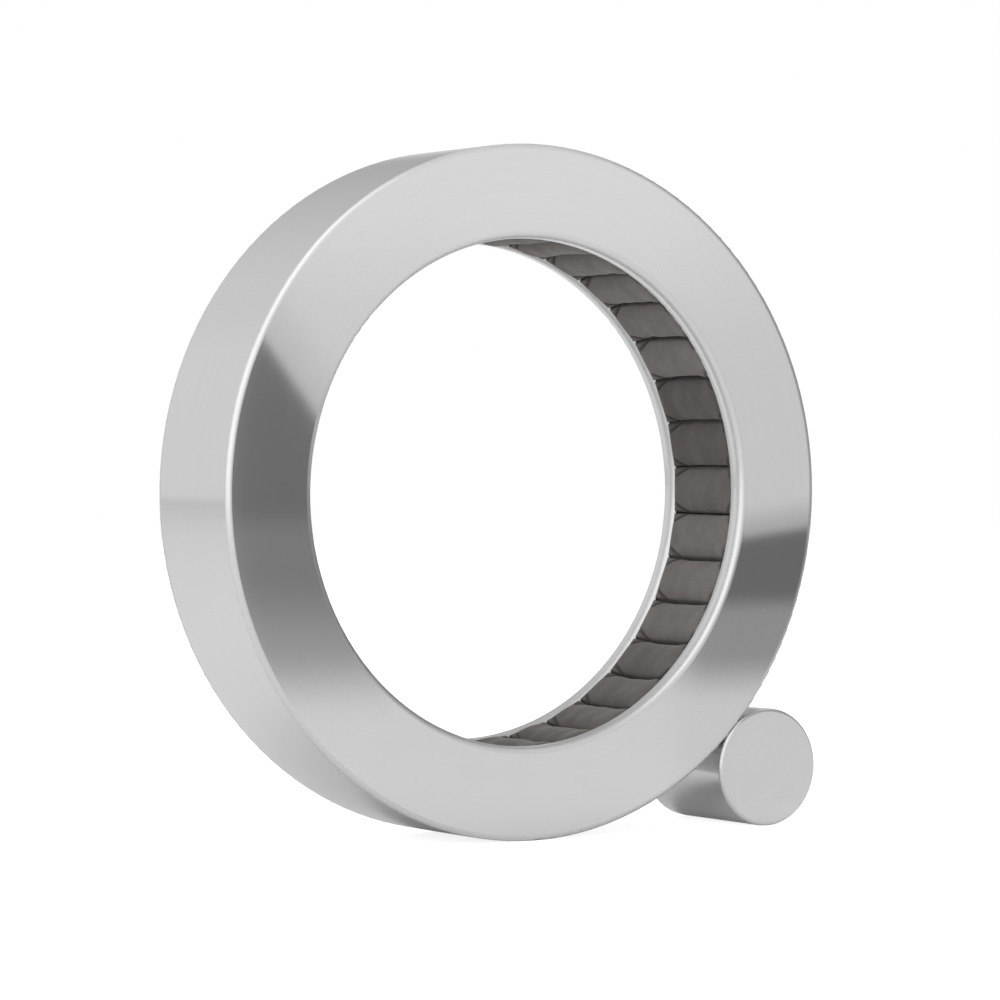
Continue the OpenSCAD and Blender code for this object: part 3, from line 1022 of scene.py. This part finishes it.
def shaped_roll(points, stage, traits):
    """Gives a plain roll its own height, lumps, and the fabric folded in at both ends. Returns the vertices'
    places and the painted shade that they get in the creases and slots, from 0 to 1."""
    turned = -1.0 if traits["turned"] else 1.0
    x, stage, out = points[:, 0] * turned, stage * turned, -points[:, 2]
    left, right = x < 0, x >= 0
    rear = left * traits["rear_folds"][0] + right * traits["rear_folds"][1]
    front = left * traits["front_folds"][0] + right * traits["front_folds"][1]
    fold = np.where(stage > 0, rear, front)

    # the rows of vertices slide along the roll until one of them lies on its fold
    fold_line = fold_place(x, fold)
    y = np.sign(stage) * stage_place(np.abs(stage), fold_line)

    # its height in the channel, and soft lumps in the foam
    shift = traits["sag"] * np.exp(-((x / SAG_WIDTH) ** 2))
    for (height, across, along), phase in zip(LUMPS, traits["phase"]):
        shift += height * np.sin(x * across + y * along + phase)

    # towards its ends the crown bends down until it meets the lips near their noses, and its
    # edges at the slots are filled out so that they meet the lips too
    flap_step = FLAP_STEP + CORNER_STEP * smooth_step(corner_share(x), *CORNER_STEP_RISE)
    at_slot = smooth_step(np.abs(x), *LIP_CONTACT_ENDS)
    at_lip = (traits["lip_level"] - crown_out(x)) * (1 - at_slot) + flap_step * at_slot
    at_lip -= EDGE_FILL * np.clip(out - crown_out(x), 0, EDGE_FILL_DEPTH)
    drop = np.maximum(at_lip - flap_step - shift, 0)
    slope = FOLD_BEND * fold / (HALF_WIDTH - FOLD_START) * corner_share(x) ** (FOLD_BEND - 1)
    beyond = (np.abs(y) - fold_line) / np.sqrt(1 + slope**2)
    into = np.clip(beyond + END_TAPER, 0, END_TAPER) / END_TAPER
    shift += drop * (1 - np.sqrt(1 - into**2))

    # past the fold the tucked flap runs on to the lip, a little lower, behind a crease
    share = np.clip(np.abs(stage) - 1, 0, 1)
    shift = shift * (1 - share) + at_lip * share
    at_corner = smooth_step(corner_share(x), *CREASE_RISE)
    shift += CREASE_DEPTH * at_corner * np.exp(-((beyond / CREASE_WIDTH) ** 2))

    # painted shade: the pile is darkened where it turns into that crease and into the slots
    near_crease = np.exp(-((beyond / np.where(beyond < 0, *CREASE_SHADE_WIDTHS)) ** 2))
    in_slot = smooth_step(np.abs(x), SLOT_SHADE_FROM, SLOT_SHADE_FULL)
    painted_shade = np.maximum(CREASE_SHADE * at_corner * near_crease, SLOT_SHADE * in_slot)

    on_top = smooth_step(BACK_RADIUS - out, *TOP_PART)
    out = out + shift * on_top
    x = x + traits["skew"] * y * on_top
    return keep_in_place(np.stack([x, y, -out], axis=1)), painted_shade


def ring_placer():
    """Geometry Nodes that put a finished roll at its place in the ring and give it its tone, which is painted
    shade by its angle round the ring, varied a little at random.
    """
    tree = bpy.data.node_groups.new("roll_on_the_ring", "GeometryNodeTree")
    face = tree.interface
    face.new_socket("Geometry", in_out="INPUT", socket_type="NodeSocketGeometry")
    face.new_socket("Roll Number", in_out="INPUT", socket_type="NodeSocketInt")
    face.new_socket("Rolls In Ring", in_out="INPUT", socket_type="NodeSocketInt")
    face.new_socket("Axis Height", in_out="INPUT", socket_type="NodeSocketFloat")
    face.new_socket("Tone", in_out="INPUT", socket_type="NodeSocketFloat")
    face.new_socket("Seed", in_out="INPUT", socket_type="NodeSocketInt")
    face.new_socket("Material", in_out="INPUT", socket_type="NodeSocketMaterial")
    face.new_socket("Geometry", in_out="OUTPUT", socket_type="NodeSocketGeometry")
    given = tree.nodes.new("NodeGroupInput").outputs

    # a roll in its own frame lies at the bottom of the ring, and the first one belongs at its right
    before = maths(tree, "SUBTRACT", given["Roll Number"], 1.0)
    turns = maths(tree, "DIVIDE", before, given["Rolls In Ring"])
    turn = maths(tree, "MULTIPLY", maths(tree, "ADD", turns, 0.25), -2 * math.pi)
    rotation = node(tree, "ShaderNodeCombineXYZ", {"Y": turn}).outputs[0]
    height = node(tree, "ShaderNodeCombineXYZ", {"Z": given["Axis Height"]}).outputs[0]
    placed = node(
        tree,
        "GeometryNodeTransform",
        {"Geometry": given["Geometry"], "Rotation": rotation, "Translation": height},
    )
    # the tone, a painted shade by angle, is varied a little at random and stored on the roll
    chance = node(tree, "FunctionNodeRandomValue", data_type="FLOAT")
    tree.links.new(given["Roll Number"], chance.inputs["ID"])
    tree.links.new(given["Seed"], chance.inputs["Seed"])
    varied = maths(tree, "MULTIPLY", maths(tree, "SUBTRACT", chance.outputs[1], 0.5), TONE_VARIATION)
    varied = maths(tree, "ADD", given["Tone"], varied)
    toned = node(
        tree,
        "GeometryNodeStoreNamedAttribute",
        {"Geometry": placed.outputs[0], "Name": "roll_tone_and_shade"},
        data_type="FLOAT",
        domain="POINT",
    )
    tree.links.new(varied, toned.inputs["Value"])
    smooth = node(tree, "GeometryNodeSetShadeSmooth", {"Geometry": toned.outputs[0]})
    whole = node(tree, "GeometryNodeRealizeInstances", {"Geometry": smooth.outputs[0]})
    inputs = {"Geometry": whole.outputs[0], "Material": given["Material"]}
    dressed = node(tree, "GeometryNodeSetMaterial", inputs)
    result = tree.nodes.new("NodeGroupOutput")
    tree.links.new(dressed.outputs[0], result.inputs["Geometry"])
    return tree


def place_roll(name, mesh, number, tone, material):
    """A roll put at its place in the ring by the geometry nodes."""
    placer = bpy.data.node_groups.get("roll_on_the_ring") or ring_placer()
    sockets = {s.name: s.identifier for s in placer.interface.items_tree if s.in_out == "INPUT"}
    roll = new_object(name, mesh)
    place = roll.modifiers.new("place", "NODES")
    place.node_group = placer
    place[sockets["Roll Number"]] = number
    place[sockets["Rolls In Ring"]] = ROLL_COUNT
    place[sockets["Axis Height"]] = RING_AXIS_HEIGHT * MM
    place[sockets["Tone"]] = tone
    place[sockets["Seed"]] = RANDOM_SEED
    place[sockets["Material"]] = material
    roll.data = evaluated_mesh(roll)
    roll.modifiers.clear()
    return roll


def make_rolls(velvet_cover, core_foam):
    """All the rolls round the ring, each standing for its own CAD node, and the foam inside them."""
    masters = [master_roll(number) for number in range(MASTER_COUNT)]
    core_form = roll_form("core_form", RANDOM_SEED, CORE_ROWS, CORE_STEPS, 1.0)
    core_points, core_stages = positions(core_form.data), stages(core_form.data)
    middle = np.array([0.0, 0.0, -(CROWN_TOP + BACK_RADIUS) / 2])
    cores = []
    for number in range(1, ROLL_COUNT + 1):
        random = np.random.default_rng(RANDOM_SEED * 100 + number)
        master = masters[random.integers(len(masters))]
        traits = roll_traits(2 * math.pi * (number - 1) / ROLL_COUNT, random)

        cover = master.copy()
        places, painted_shade = shaped_roll(positions(master), stages(master), traits)
        move_vertices(cover, places * MM)
        # the painted shade in the creases and slots goes with the roll as an attribute
        cover.attributes.new("painted_shade", "FLOAT", "POINT").data.foreach_set("value", painted_shade)
        roll = place_roll(f"velvet_roll_{number:02d}", cover, number, traits["tone"], velvet_cover)
        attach(roll, "root")
        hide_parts(f"ring_roll_{number:02d}")

        inner = core_form.data.copy()
        places = shaped_roll(core_points, core_stages, traits)[0]
        move_vertices(inner, (middle + (places - middle) * CORE_SCALE) * MM)
        cores.append(place_roll(f"core_{number:02d}", inner, number, traits["tone"], core_foam))

    joined = joined_object("foam_cores", cores)
    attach(joined, "root")
    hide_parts("roll_cores")
    bpy.data.objects.remove(core_form)


# The whole organizer


def dress(nodes, material):
    """Gives CAD nodes their finish."""
    for name in nodes:
        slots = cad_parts[name].data.materials
        slots.clear()
        slots.append(material)


make_camera()
make_stage()

ring_steel = brushed_steel("ring_brushed_steel", (0, RING_AXIS_HEIGHT), FACE_ROUNDINGS)
foot_steel = brushed_steel("foot_brushed_steel", FOOT_AXIS, DISC_ROUNDINGS)
plain_steel = brushed_steel(
    "hidden_plain_steel", FOOT_AXIS, (), level=0.42, roughness=0.38, anisotropy=0.3
)
charcoal_foam = foam()

dress(["outer_band", "front_face", "rear_face"], ring_steel)
dress(["foot_tube", "foot_front_disc", "foot_rear_disc"], foot_steel)
dress(["foot_core", "clamp_plate", "foot_screws"], plain_steel)
dress(["foam_bed"], charcoal_foam)
dress(["backing_strip"], board())
make_rolls(velvet(), charcoal_foam)

scene = bpy.context.scene
scene.view_settings.view_transform = "Standard"
